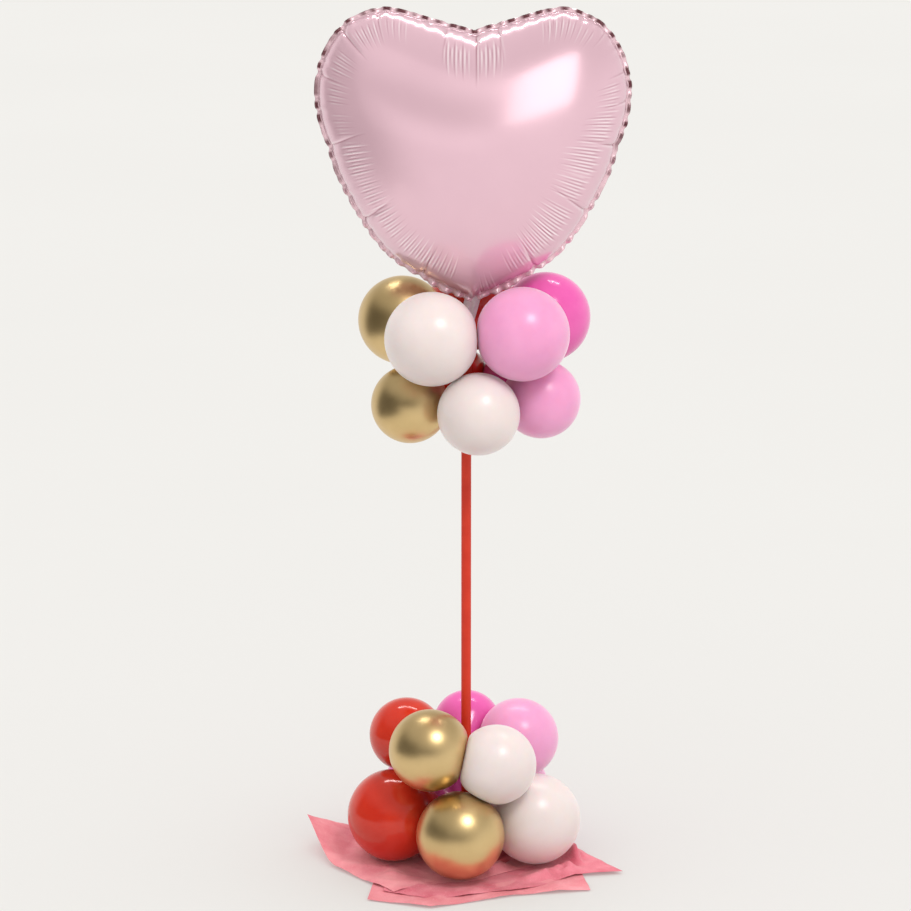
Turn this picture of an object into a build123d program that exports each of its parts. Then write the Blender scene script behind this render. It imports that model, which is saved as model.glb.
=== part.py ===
from build123d import *
import math
import os
from collections import namedtuple

# Balloon column: a foil heart over two clusters of small latex balloons on a pole,
# held up by a weighted base plate that also clamps three sheets of tissue paper.
# Millimetres, +Z up, origin on the pole's axis where the base pad meets the table.

# ---- driving dimensions -------------------------------------------------------------

POLE_DIAMETER = 12.7
POLE_WALL = 1.0
POLE_TOP = 699.0              # height of the tube's top end above the table
PLUG_LENGTH = 14.0
PLUG_HEAD = 3.0

TISSUE_THICKNESS = 0.4
TISSUE_SHEETS = 3
TISSUE_HOLE_CLEARANCE = 1.5   # the sheets' centre opening round the base pad

PAD_RADIUS = 46.0
PAD_THICKNESS = TISSUE_SHEETS * TISSUE_THICKNESS
PLATE_RADIUS = 62.0
PLATE_THICKNESS = 8.0
PLATE_EDGE_CHAMFER = 1.0

SOCKET_RADIUS = 17.0
SOCKET_HEIGHT = 26.0
SOCKET_FLOOR = 3.0
SOCKET_FLANGE_RADIUS = 27.0
SOCKET_FLANGE_THICKNESS = 3.0
SOCKET_RIM_ROUND = 1.5
SCREW_COUNT = 3
SCREW_RADIUS = 2.0            # shank
SCREW_HEAD_RADIUS = 3.6
SCREW_LENGTH = 9.0
SCREW_CIRCLE = 22.0

POLE_CLEARANCE = 0.25         # pole in its socket, per side
TIE_CLEARANCE = 0.35          # ties on the pole, per side
NECK_GAP = 0.3                # between a balloon's neck and the tie it is twisted into
CONTACT_GAP = 0.4             # between two balloons pressed together

LATEX_WALL = 0.15
NECK_RADIUS = 3.6
NECK_LENGTH = 7.0
TIE_RADIUS = 10.5
TIE_HEIGHT = 11.0
TIE_CHAMFER = 2.0

FOIL_WALL = 0.2
HEART_TIP = POLE_TOP + 44     # height of the swollen part's tip above the table
HEART_HEIGHT = 331.0          # from that tip to the notch between the lobes
HEART_LOBE_RISE = 28.0        # top of the lobes above the notch
HEART_WIDTH = 381.0           # across the swollen part, without the seam
HEART_THICKNESS = 160.0
HEART_SHIFT = 8.0             # the heart hangs a little to the right of the pole
SEAM_WIDTH = 6.0
SEAM_THICKNESS = 0.8
TAIL_WIDTH = 20.0
TAIL_THICKNESS = 1.2

CUP_RADIUS = 9.5
CUP_SPIGOT = 9.0              # goes down inside the pole's top end, and ends above the top tie
CUP_CLEARANCE = 0.3           # spigot in the pole, per side
CUP_FLANGE = 3.0
CUP_JAW_HEIGHT = 11.0
TAIL_CLEARANCE = 0.2          # tail in the slot of the cup, per side

os.makedirs("parts", exist_ok=True)


def save(piece, name):
    """Label a finished piece and write it as its own STEP file."""
    piece.label = name
    export_step(piece, f"parts/{name}.step")


# ---- base: pad, weight, pole socket and its screws ----------------------------------

plate_bottom = PAD_THICKNESS
plate_top = plate_bottom + PLATE_THICKNESS
pole_bottom = plate_top + SOCKET_FLOOR + PLUG_HEAD

with BuildPart() as base_pad:
    with BuildSketch(Plane.XY):
        Circle(PAD_RADIUS)
    extrude(amount=PAD_THICKNESS)
save(base_pad.part, "base_pad")

with BuildPart() as base_plate:
    with BuildSketch(Plane.XY.offset(plate_bottom)):
        Circle(PLATE_RADIUS)
    extrude(amount=PLATE_THICKNESS)
    chamfer(base_plate.edges().group_by(Axis.Z)[-1], length=PLATE_EDGE_CHAMFER)
    with Locations(Plane.XY.offset(plate_top)):
        with PolarLocations(SCREW_CIRCLE, SCREW_COUNT, start_angle=90):
            Hole(radius=SCREW_RADIUS, depth=SCREW_LENGTH - SOCKET_FLANGE_THICKNESS)
save(base_plate.part, "base_plate")

with BuildPart() as base_socket:
    with BuildSketch(Plane.XY.offset(plate_top)):
        Circle(SOCKET_FLANGE_RADIUS)
    extrude(amount=SOCKET_FLANGE_THICKNESS)
    with BuildSketch(Plane.XY.offset(plate_top)):
        Circle(SOCKET_RADIUS)
    extrude(amount=SOCKET_HEIGHT)
    fillet(base_socket.edges().group_by(Axis.Z)[-1], radius=SOCKET_RIM_ROUND)
    with Locations(Plane.XY.offset(plate_top + SOCKET_HEIGHT)):
        Hole(radius=POLE_DIAMETER / 2 + POLE_CLEARANCE, depth=SOCKET_HEIGHT - SOCKET_FLOOR)
    with Locations(Plane.XY.offset(plate_top + SOCKET_FLANGE_THICKNESS)):
        with PolarLocations(SCREW_CIRCLE, SCREW_COUNT, start_angle=90):
            CounterSinkHole(SCREW_RADIUS, SCREW_HEAD_RADIUS, depth=SOCKET_FLANGE_THICKNESS)
save(base_socket.part, "base_socket")

with BuildPart() as base_screws:
    flange_top = plate_top + SOCKET_FLANGE_THICKNESS
    head_depth = SCREW_HEAD_RADIUS - SCREW_RADIUS
    with PolarLocations(SCREW_CIRCLE, SCREW_COUNT, start_angle=90):
        with Locations((0, 0, flange_top - SCREW_LENGTH)):
            Cylinder(SCREW_RADIUS, SCREW_LENGTH, align=(Align.CENTER, Align.CENTER, Align.MIN))
        with Locations((0, 0, flange_top - head_depth)):
            Cone(SCREW_RADIUS, SCREW_HEAD_RADIUS, head_depth,
                 align=(Align.CENTER, Align.CENTER, Align.MIN))
save(base_screws.part, "base_screws")


# ---- pole: painted tube with a plug in its foot -------------------------------------

pole_inner = POLE_DIAMETER / 2 - POLE_WALL

with BuildPart() as pole_tube:
    with BuildSketch(Plane.XY.offset(pole_bottom)):
        Circle(POLE_DIAMETER / 2)
        Circle(pole_inner, mode=Mode.SUBTRACT)
    extrude(amount=POLE_TOP - pole_bottom)
save(pole_tube.part, "pole_tube")

with BuildPart() as pole_foot_plug:
    with BuildSketch(Plane.XY.offset(pole_bottom - PLUG_HEAD)):
        Circle(POLE_DIAMETER / 2)
    extrude(amount=PLUG_HEAD)
    with BuildSketch(Plane.XY.offset(pole_bottom)):
        Circle(pole_inner)
    extrude(amount=PLUG_LENGTH)
save(pole_foot_plug.part, "pole_foot_plug")


# ---- balloons -----------------------------------------------------------------------

# turn is the angle round the pole from the front, positive to the right.
# reach is how far the round of the balloon sits from the middle of its ring.
Balloon = namedtuple("Balloon", "colour radius reach turn height")
# tie_drop is how far below the ring its necks are twisted together round the pole.
Ring = namedtuple("Ring", "name height tie_drop shift balloons")

BASE_LOWER_HEIGHT = 62.0
BASE_UPPER_HEIGHT = 149.0
TOP_UPPER_HEIGHT = POLE_TOP + 13
TOP_LOWER_HEIGHT = TOP_UPPER_HEIGHT - 99
TOP_TIE_DROP = 28.0           # keeps the top tie below the heart's cup
TOP_SHIFT = 9.0               # the top cluster hangs a little to the right of the pole

BASE_LOWER = Ring("base_lower", BASE_LOWER_HEIGHT, 0.0, 0.0, [
    Balloon("gold", 56.5, 96, -4.5, 0),
    Balloon("white", 58.5, 96, 69, 0),
    Balloon("pink", 56.0, 94, 145, 0),
    Balloon("hot_pink", 57.5, 96, -147, 0),
    Balloon("red", 60.0, 96, -78, 0),
])
BASE_UPPER = Ring("base_upper", BASE_UPPER_HEIGHT, 0.0, 0.0, [
    Balloon("gold", 52.5, 84, -33.5, 18.5),
    Balloon("white", 51.0, 85, 27, 1.5),
    Balloon("pink", 52.0, 76, 115, 0.5),
    Balloon("hot_pink", 44.5, 80, 179, 4),
    Balloon("red", 48.5, 82, -109, 7),
])
TOP_LOWER = Ring("top_lower", TOP_LOWER_HEIGHT, 0.0, TOP_SHIFT, [
    Balloon("white", 51.5, 86, 4, 0),
    Balloon("pink", 49.5, 88, 76, 4),
    Balloon("hot_pink", 49.5, 86, 141, 0),
    Balloon("red", 54.0, 86, -160, 0),
    Balloon("gold", 49.0, 86, -68, 0),
])
TOP_UPPER = Ring("top_upper", TOP_UPPER_HEIGHT, TOP_TIE_DROP, TOP_SHIFT, [
    Balloon("white", 58.5, 96, -33, -5),
    Balloon("pink", 58.5, 96, 39, 0),
    Balloon("hot_pink", 57.0, 96, 108, 0),
    Balloon("red", 57.0, 96, 181, 0),
    Balloon("gold", 56.0, 93, -105, -2.5),
])


def centre(ring, balloon):
    """Middle of the round part of a balloon."""
    angle = math.radians(balloon.turn)
    return Vector(
        ring.shift + balloon.reach * math.sin(angle),
        -balloon.reach * math.cos(angle),
        ring.height + balloon.height,
    )


def contact_planes(cluster, ring, balloon):
    """Planes where a balloon is pressed flat by its neighbours, facing out of the balloon."""
    planes = []
    own = centre(ring, balloon)
    for other_ring in cluster:
        for other in other_ring.balloons:
            if other is balloon:
                continue
            across = centre(other_ring, other) - own
            beside = other_ring is ring and abs((other.turn - balloon.turn + 180) % 360 - 180) < 100
            if not beside and across.length > balloon.radius + other.radius + CONTACT_GAP:
                continue
            share = (across.length**2 + balloon.radius**2 - other.radius**2) / (2 * across.length)
            out = across.normalized()
            planes.append(Plane(origin=own + out * (share - CONTACT_GAP / 2), z_dir=out))
    return planes


def balloon_solid(cluster, ring, balloon, inset):
    """A tied balloon: neck at the twisted tie by the pole, round part outside."""
    tie = Vector(ring.shift, 0, ring.height - ring.tie_drop)
    along = centre(ring, balloon) - tie
    reach = along.length
    frame = Plane(origin=tie, x_dir=along.normalized(), z_dir=along.cross(Vector(0, 0, 1)))
    radius = balloon.radius - inset
    neck = NECK_RADIUS - inset
    slope = math.asin(along.Z / reach)
    neck_start = (tie_radius(ring) + NECK_GAP) / math.cos(slope) + NECK_RADIUS * abs(math.tan(slope))
    neck_start += inset
    neck_end = neck_start + NECK_LENGTH
    # the skin runs straight from the neck's end and meets the round part along a tangent
    back = math.hypot(reach - neck_end, neck)
    lift = math.pi - math.atan2(neck, reach - neck_end) - math.acos(radius / back)
    tangent = (reach + radius * math.cos(lift), radius * math.sin(lift))
    middle = (reach + radius * math.cos(lift / 2), radius * math.sin(lift / 2))
    with BuildPart() as solid:
        with BuildSketch(frame):
            with BuildLine():
                Polyline((reach + radius, 0), (neck_start, 0), (neck_start, neck),
                         (neck_end, neck), tangent)
                ThreePointArc(tangent, middle, (reach + radius, 0))
            make_face()
        revolve(axis=Axis(frame.origin, frame.x_dir))
        for plane in contact_planes(cluster, ring, balloon):
            split(bisect_by=plane.offset(-inset), keep=Keep.BOTTOM)
    return solid.part


def tie_radius(ring):
    """The bundle of twisted necks is as much wider as its ring hangs off the pole's axis."""
    return TIE_RADIUS + abs(ring.shift)


def make_ring(cluster, ring):
    """Five hollow balloons and the bundle of twisted necks that holds them to the pole."""
    for balloon in ring.balloons:
        with BuildPart() as skin:
            add(balloon_solid(cluster, ring, balloon, 0))
            add(balloon_solid(cluster, ring, balloon, LATEX_WALL), mode=Mode.SUBTRACT)
        save(skin.part, f"{ring.name}_balloon_{balloon.colour}")
    with BuildPart() as tie:
        with BuildSketch(Plane.XY.offset(ring.height - ring.tie_drop - TIE_HEIGHT / 2)):
            with Locations((ring.shift, 0)):
                Circle(tie_radius(ring))
            Circle(POLE_DIAMETER / 2 + TIE_CLEARANCE, mode=Mode.SUBTRACT)
        extrude(amount=TIE_HEIGHT)
        chamfer(tie.edges().filter_by(GeomType.CIRCLE).sort_by(SortBy.RADIUS)[-2:], length=TIE_CHAMFER)
    save(tie.part, f"{ring.name}_tie")


base_cluster = [BASE_LOWER, BASE_UPPER]
top_cluster = [TOP_LOWER, TOP_UPPER]
for cluster in (base_cluster, top_cluster):
    for ring in cluster:
        make_ring(cluster, ring)


# ---- cup and filling neck that hold the heart on the pole ---------------------------

cup_bottom = POLE_TOP
jaw_bottom = cup_bottom + CUP_FLANGE
tail_bottom = jaw_bottom

with BuildPart() as heart_cup:
    with BuildSketch(Plane.XY.offset(cup_bottom)):
        Circle(pole_inner - CUP_CLEARANCE)
    extrude(amount=-CUP_SPIGOT)
    with BuildSketch(Plane.XY.offset(cup_bottom)):
        Circle(CUP_RADIUS)
    extrude(amount=CUP_FLANGE + CUP_JAW_HEIGHT)
    with BuildSketch(Plane.XY.offset(jaw_bottom)):
        Rectangle(2 * CUP_RADIUS, TAIL_THICKNESS + 2 * TAIL_CLEARANCE)
    extrude(amount=CUP_JAW_HEIGHT, mode=Mode.SUBTRACT)
save(heart_cup.part, "heart_cup")

with BuildPart() as heart_tail:
    with BuildSketch(Plane.XZ.offset(-TAIL_THICKNESS / 2)):
        with BuildLine():
            Polyline(
                (-TAIL_WIDTH / 2, tail_bottom),
                (TAIL_WIDTH / 2, tail_bottom),
                (TAIL_WIDTH / 2, tail_bottom + CUP_JAW_HEIGHT),
                (HEART_SHIFT + TAIL_WIDTH / 2, HEART_TIP - 1),
                (HEART_SHIFT - TAIL_WIDTH / 2, HEART_TIP - 1),
                (-TAIL_WIDTH / 2, tail_bottom + CUP_JAW_HEIGHT),
                close=True,
            )
        make_face()
    extrude(amount=TAIL_THICKNESS)
save(heart_tail.part, "heart_tail")


# ---- foil heart: two panels welded along a flat seam --------------------------------

heart_frame = Plane(origin=(HEART_SHIFT, 0, HEART_TIP), x_dir=(1, 0, 0), z_dir=(0, -1, 0))
heart_middle = 0.6 * HEART_HEIGHT    # the height where the heart swells most, above its tip

# right half of the outline, from the notch over the lobe and down to the tip:
# shares of the half width and of the height of the lobes
LOBE = [(0.24, 0.957), (0.55, 1.0), (0.725, 0.978), (0.85, 0.935), (0.955, 0.845), (1.0, 0.745),
        (0.985, 0.64), (0.92, 0.53), (0.85, 0.42), (0.66, 0.24), (0.44, 0.121)]
# how the swollen heart narrows from the seam to the middle of its front: angles of an ellipse
SWELL = [0, 14, 28, 44, 60, 75]


def heart_face(grow, depth):
    """Heart-shaped sketch, grown or shrunk about its middle, at a depth in front of the seam."""
    half = HEART_WIDTH / 2
    top = HEART_HEIGHT + HEART_LOBE_RISE
    outline = [(0, HEART_HEIGHT)] + [(x * half, z * top) for x, z in LOBE] + [(0, 0)]
    placed = [(x * grow, heart_middle + (z - heart_middle) * grow) for x, z in outline]
    with BuildSketch(heart_frame.offset(depth)) as sketch:
        with BuildLine():
            Spline(*placed)
            mirror(about=Plane.YZ)
        make_face()
    return sketch.sketch


def swollen_half(inset, through_seam):
    """Front half of the heart's outside, or of the space inside it, in front of the seam."""
    seam = SEAM_THICKNESS / 2
    depth = HEART_THICKNESS / 2 - seam - inset
    shrink = 2 * inset / HEART_WIDTH
    with BuildPart() as half:
        if through_seam:
            add(heart_face(1 - shrink, 0))
        for degrees in SWELL:
            angle = math.radians(degrees)
            add(heart_face(math.cos(angle) - shrink, seam + depth * math.sin(angle)))
        loft(ruled=True)
    return half.part


heart_inside = swollen_half(FOIL_WALL, through_seam=True)
seam_grow = 1 + 2 * SEAM_WIDTH / HEART_WIDTH

with BuildPart() as foil_skin:
    add(swollen_half(0, through_seam=False))
    add(heart_inside, mode=Mode.SUBTRACT)

with BuildPart() as heart_front_panel:
    extrude(heart_face(seam_grow, 0), amount=SEAM_THICKNESS / 2, dir=heart_frame.z_dir)
    add(heart_inside, mode=Mode.SUBTRACT)
    add(foil_skin.part)
    add(heart_tail.part, mode=Mode.SUBTRACT)
save(heart_front_panel.part, "heart_front_panel")

with BuildPart() as heart_back_panel:
    add(heart_front_panel.part)
    mirror(about=Plane.XZ, mode=Mode.REPLACE)
save(heart_back_panel.part, "heart_back_panel")


# ---- tissue paper clamped under the plate -------------------------------------------

# corners of each sheet as it lies, seen from above, lowest sheet first
SHEETS = [
    [(-125, -165), (-45, -192), (60, -150), (158, -132), (120, 130), (-95, 120)],
    [(-105, -140), (-45, -168), (86, -126), (140, -82), (202, -72), (143, 15), (110, 110), (-100, 80)],
    [(-92, -146), (-50, -116), (5, -102), (88, -45), (84, 70), (-60, 115), (-148, 78), (-178, -45)],
]
CORNER_FOLD = [(-148, 78), (-178, -45)]    # fold of the top sheet whose corner stands up
CORNER_TIP = (-209, 38)
CORNER_RISE = 38.0

for number, outline in enumerate(SHEETS):
    level = number * TISSUE_THICKNESS
    with BuildPart() as tissue_sheet:
        with BuildSketch(Plane.XY.offset(level)):
            with BuildLine():
                Polyline(*outline, close=True)
            make_face()
            Circle(PAD_RADIUS + TISSUE_HOLE_CLEARANCE, mode=Mode.SUBTRACT)
        extrude(amount=TISSUE_THICKNESS)
        if number == TISSUE_SHEETS - 1:
            # the left corner stands up along a fold
            start, end = Vector(*CORNER_FOLD[0], level), Vector(*CORNER_FOLD[1], level)
            fold = end - start
            tip = Vector(*CORNER_TIP, level + CORNER_RISE)
            flap = Plane(origin=start, x_dir=fold, z_dir=fold.cross(tip - start) * -1)
            with BuildSketch(flap):
                with BuildLine():
                    Polyline((0, 0), (fold.length, 0), tuple(flap.to_local_coords(tip))[:2],
                             close=True)
                make_face()
            extrude(amount=TISSUE_THICKNESS)
    save(tissue_sheet.part, f"tissue_sheet_{number + 1}")
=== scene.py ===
import math
import bpy
import numpy as np
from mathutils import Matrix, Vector, geometry, noise


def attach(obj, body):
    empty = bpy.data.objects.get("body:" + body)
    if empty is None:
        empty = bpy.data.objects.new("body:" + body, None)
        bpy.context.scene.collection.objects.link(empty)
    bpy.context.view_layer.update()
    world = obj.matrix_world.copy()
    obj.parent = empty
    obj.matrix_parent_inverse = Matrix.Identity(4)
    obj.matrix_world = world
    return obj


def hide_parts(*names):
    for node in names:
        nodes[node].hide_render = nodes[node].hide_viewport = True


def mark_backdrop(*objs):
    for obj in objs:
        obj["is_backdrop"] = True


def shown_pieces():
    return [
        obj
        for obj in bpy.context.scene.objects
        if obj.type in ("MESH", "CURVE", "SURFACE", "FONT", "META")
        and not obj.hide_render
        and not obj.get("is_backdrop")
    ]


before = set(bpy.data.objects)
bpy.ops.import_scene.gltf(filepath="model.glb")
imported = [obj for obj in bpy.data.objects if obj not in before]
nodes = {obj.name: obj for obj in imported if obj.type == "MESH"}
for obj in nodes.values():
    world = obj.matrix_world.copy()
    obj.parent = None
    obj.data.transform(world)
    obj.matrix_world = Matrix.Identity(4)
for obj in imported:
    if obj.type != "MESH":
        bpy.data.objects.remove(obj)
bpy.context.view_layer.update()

# ---- base: pad, weight, pole socket and screws ------------------------------------------
# A steel disc on a thin rubber pad, with a moulded socket boss screwed to it for the pole's
# foot. All rigid and hidden under the balloons, so the frame's own shapes stay and get finishes.


def finish_group():
    """Mottled colour, uneven gloss and a fine bump, used by nearly every finish here."""
    tree = bpy.data.node_groups.new("mottled_finish", "ShaderNodeTree")
    sockets = (("Position", "NodeSocketVector", None), ("Scale", "NodeSocketFloat", 60.0),
               ("Colour low", "NodeSocketColor", None), ("Colour high", "NodeSocketColor", None),
               ("Gloss low", "NodeSocketFloat", 0.3), ("Gloss high", "NodeSocketFloat", 0.5),
               ("Bump strength", "NodeSocketFloat", 0.1), ("Bump scale", "NodeSocketFloat", 400.0))
    for name, kind, value in sockets:
        made = tree.interface.new_socket(name, in_out="INPUT", socket_type=kind)
        if value is not None:
            made.default_value = value
    for name, kind in (("Colour", "NodeSocketColor"), ("Roughness", "NodeSocketFloat"),
                       ("Normal", "NodeSocketVector")):
        tree.interface.new_socket(name, in_out="OUTPUT", socket_type=kind)
    put = tree.nodes.new
    link = tree.links.new
    given, out = put("NodeGroupInput"), put("NodeGroupOutput")
    broad, fine = put("ShaderNodeTexNoise"), put("ShaderNodeTexNoise")
    broad.inputs["Detail"].default_value = 4.0
    fine.inputs["Detail"].default_value = 3.0
    spread = put("ShaderNodeMapRange")
    spread.inputs["From Min"].default_value = 0.32
    spread.inputs["From Max"].default_value = 0.68
    colours = put("ShaderNodeMix")
    colours.data_type = "RGBA"
    gloss = put("ShaderNodeMapRange")
    bump = put("ShaderNodeBump")
    bump.inputs["Distance"].default_value = 0.0004
    link(given.outputs["Position"], broad.inputs["Vector"])
    link(given.outputs["Scale"], broad.inputs["Scale"])
    link(given.outputs["Position"], fine.inputs["Vector"])
    link(given.outputs["Bump scale"], fine.inputs["Scale"])
    link(broad.outputs["Fac"], spread.inputs["Value"])
    link(spread.outputs["Result"], colours.inputs["Factor"])
    link(given.outputs["Colour low"], colours.inputs["A"])
    link(given.outputs["Colour high"], colours.inputs["B"])
    link(fine.outputs["Fac"], gloss.inputs["Value"])
    link(given.outputs["Gloss low"], gloss.inputs["To Min"])
    link(given.outputs["Gloss high"], gloss.inputs["To Max"])
    link(fine.outputs["Fac"], bump.inputs["Height"])
    link(given.outputs["Bump strength"], bump.inputs["Strength"])
    link(colours.outputs["Result"], out.inputs["Colour"])
    link(gloss.outputs["Result"], out.inputs["Roughness"])
    link(bump.outputs["Normal"], out.inputs["Normal"])
    return tree


mottled_finish = finish_group()


def finish(name, low, high, scale, gloss, bump=0.1, bump_scale=400.0, **plain):
    """A material on the mottled finish; plain are values set on the shader's own sockets."""
    made = bpy.data.materials.new(name)
    made.use_nodes = True
    tree = made.node_tree
    shader = tree.nodes["Principled BSDF"]
    place = tree.nodes.new("ShaderNodeTexCoord")
    group = tree.nodes.new("ShaderNodeGroup")
    group.name = "finish"
    group.node_tree = mottled_finish
    group.inputs["Scale"].default_value = scale
    group.inputs["Colour low"].default_value = (*low, 1)
    group.inputs["Colour high"].default_value = (*high, 1)
    group.inputs["Gloss low"].default_value = gloss[0]
    group.inputs["Gloss high"].default_value = gloss[1]
    group.inputs["Bump strength"].default_value = bump
    group.inputs["Bump scale"].default_value = bump_scale
    tree.links.new(place.outputs["Object"], group.inputs["Position"])
    tree.links.new(group.outputs["Colour"], shader.inputs["Base Color"])
    tree.links.new(group.outputs["Roughness"], shader.inputs["Roughness"])
    tree.links.new(group.outputs["Normal"], shader.inputs["Normal"])
    for socket, value in plain.items():
        shader.inputs[socket.replace("_", " ")].default_value = value
    return made


def dress(piece, material):
    """The piece wears this one material."""
    piece.data.materials.clear()
    piece.data.materials.append(material)
    return piece


rubber = finish("pad_rubber", (0.018, 0.018, 0.019), (0.035, 0.035, 0.036), 90, (0.7, 0.9), 0.5)
powder_coat = finish("weight_powder_coat", (0.56, 0.10, 0.12), (0.66, 0.14, 0.16), 70,
                     (0.35, 0.6), 0.6, 1500)
socket_plastic = finish("socket_plastic", (0.7, 0.7, 0.69), (0.76, 0.76, 0.75), 40,
                        (0.3, 0.45), 0.15, 900)
zinc = finish("screw_zinc", (0.5, 0.5, 0.49), (0.66, 0.66, 0.64), 300, (0.2, 0.4), 0.2,
              Metallic=1.0)
dress(nodes["base_pad"], rubber)
dress(nodes["base_plate"], powder_coat)
dress(nodes["base_socket"], socket_plastic)
dress(nodes["base_screws"], zinc)


# ---- tissue paper -------------------------------------------------------------------------
# Three loose sheets of pink tissue, cut by hand, laid turned against each other and held by
# the weight's rim. The paper is creased from folding, and stays clear of the balloons above.

SHEET_CUTS = (
    ((-125, -165), (-45, -192), (60, -150), (158, -132), (120, 130), (-95, 120)),
    ((-105, -140), (-45, -168), (86, -126), (140, -82), (202, -72), (143, 15), (110, 110),
     (-100, 80)),
    ((-92, -146), (-50, -116), (5, -102), (88, -45), (84, 70), (-60, 115), (-148, 78),
     (-178, -45)),
)
SHEET_GAP = 0.0004
PAPER_THICKNESS = 0.00008
PAPER_GRID = 0.0035
HOLE_RADIUS = 0.0475
CLAMP_RADIUS = 0.063
LOWEST_BALLOON = (0.096, 0.060, 0.062)  # reach, radius and height of the one that sweeps lowest


def fold_wave(x, y, turn, length, shift):
    """Triangle wave from 0 to 1 across the paper: straight sharp folds."""
    across = (x * math.cos(turn) + y * math.sin(turn)) / length + shift
    return np.abs(2 * (across - np.floor(across + 0.5)))


def paper_creases(x, y, number):
    """Height of the sheet's own creases, in metres, nothing at its clamped middle."""
    drift = np.array([noise.noise(Vector((px * 9, py * 9, number * 3.7)))
                      for px, py in zip(x, y)])
    folds = (0.42 * fold_wave(x + drift * 0.012, y, 0.5 + number, 0.083, 0.2 * number)
             + 0.3 * fold_wave(x, y + drift * 0.01, 2.1 + 0.7 * number, 0.061, 0.4)
             + 0.18 * fold_wave(x, y, 1.2 + 1.3 * number, 0.034, 0.1)
             + 0.1 * fold_wave(x + drift * 0.02, y, 2.9 - 0.5 * number, 0.019, 0.7))
    away = np.clip((np.hypot(x, y) - CLAMP_RADIUS) / 0.09, 0, 1)
    return (0.0042 * folds + 0.001 * (drift + 0.5)) * away * away * (3 - 2 * away)


def ruffle(x, y, spots):
    """Where the paper is pushed up into a crumpled ridge beside a balloon."""
    lift = np.zeros(len(x))
    for cx, cy, radius, start, end, high in spots:
        around = np.degrees(np.arctan2(y - cy, x - cx))
        along = np.clip(1 - ((around - (start + end) / 2) / ((end - start) / 2)) ** 2, 0, 1)
        off = np.hypot(x - cx, y - cy) - radius
        crumple = np.array([noise.noise(Vector((px * 95, py * 95, high * 400)))
                            for px, py in zip(x, y)])
        lift += high * (0.75 + 0.8 * crumple) * along ** 0.5 * np.exp(-(off / 0.010) ** 2)
    return lift


def under_balloons(x, y, clear):
    """How high the paper may stand before a balloon touches it as the cluster turns."""
    reach, radius, height = LOWEST_BALLOON
    inside = radius ** 2 - (np.hypot(x, y) - reach) ** 2
    return np.where(inside > 0, height - np.sqrt(np.maximum(inside, 0)) - clear, 0.2)


def cut_sheet(corners):
    """Triangulated flat sheet with a round hole: points and triangles."""
    outline = [Vector((x / 1000, y / 1000)) for x, y in corners]
    edge = []
    for a, b in zip(outline, outline[1:] + outline[:1]):
        steps = max(1, round((b - a).length / PAPER_GRID))
        edge += [a.lerp(b, i / steps) for i in range(steps)]
    ring = [Vector((HOLE_RADIUS * math.cos(t), HOLE_RADIUS * math.sin(t)))
            for t in np.linspace(0, 2 * math.pi, 90, endpoint=False)]
    low = Vector((min(p.x for p in outline), min(p.y for p in outline)))
    high = Vector((max(p.x for p in outline), max(p.y for p in outline)))
    points = []
    row = 0
    y = low.y
    while y < high.y:
        x = low.x + (row % 2) * PAPER_GRID / 2
        while x < high.x:
            spot = Vector((x, y))
            if spot.length > HOLE_RADIUS + 0.6 * PAPER_GRID:
                points.append(spot)
            x += PAPER_GRID
        y += PAPER_GRID * 0.866
        row += 1
    count, holes = len(edge), len(ring)
    links = [(i, (i + 1) % count) for i in range(count)]
    links += [(count + i, count + (i + 1) % holes) for i in range(holes)]
    made = geometry.delaunay_2d_cdt(edge + ring + points, links, [], 0, 1e-6)
    flat = np.array([(p.x, p.y) for p in made[0]])
    middles = [(flat[list(f)].mean(axis=0), f) for f in made[2]]
    faces = []
    for middle, f in middles:
        if math.hypot(*middle) < HOLE_RADIUS * 0.995:
            continue
        odd = False
        for a, b in zip(outline, outline[1:] + outline[:1]):
            if (a.y > middle[1]) != (b.y > middle[1]):
                if middle[0] < a.x + (middle[1] - a.y) / (b.y - a.y) * (b.x - a.x):
                    odd = not odd
        if odd:
            faces.append(f)
    used = sorted({v for f in faces for v in f})
    place = {v: i for i, v in enumerate(used)}
    return flat[used], [tuple(place[v] for v in f) for f in faces]


def mesh_piece(name, points, faces, thickness=None):
    """New smooth mesh piece, with a thickness to its back if it is a film or paper."""
    mesh = bpy.data.meshes.new(name)
    mesh.from_pydata([tuple(p) for p in points], [], faces)
    mesh.update()
    piece = bpy.data.objects.new(name, mesh)
    bpy.context.scene.collection.objects.link(piece)
    bpy.ops.object.select_all(action="DESELECT")
    piece.select_set(True)
    bpy.context.view_layer.objects.active = piece
    if thickness:
        wall = piece.modifiers.new("thickness", "SOLIDIFY")
        wall.thickness = thickness
        wall.offset = -1
        wall.use_quality_normals = False
        bpy.ops.object.modifier_apply(modifier=wall.name)
    bpy.ops.object.shade_smooth()
    return piece


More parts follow.
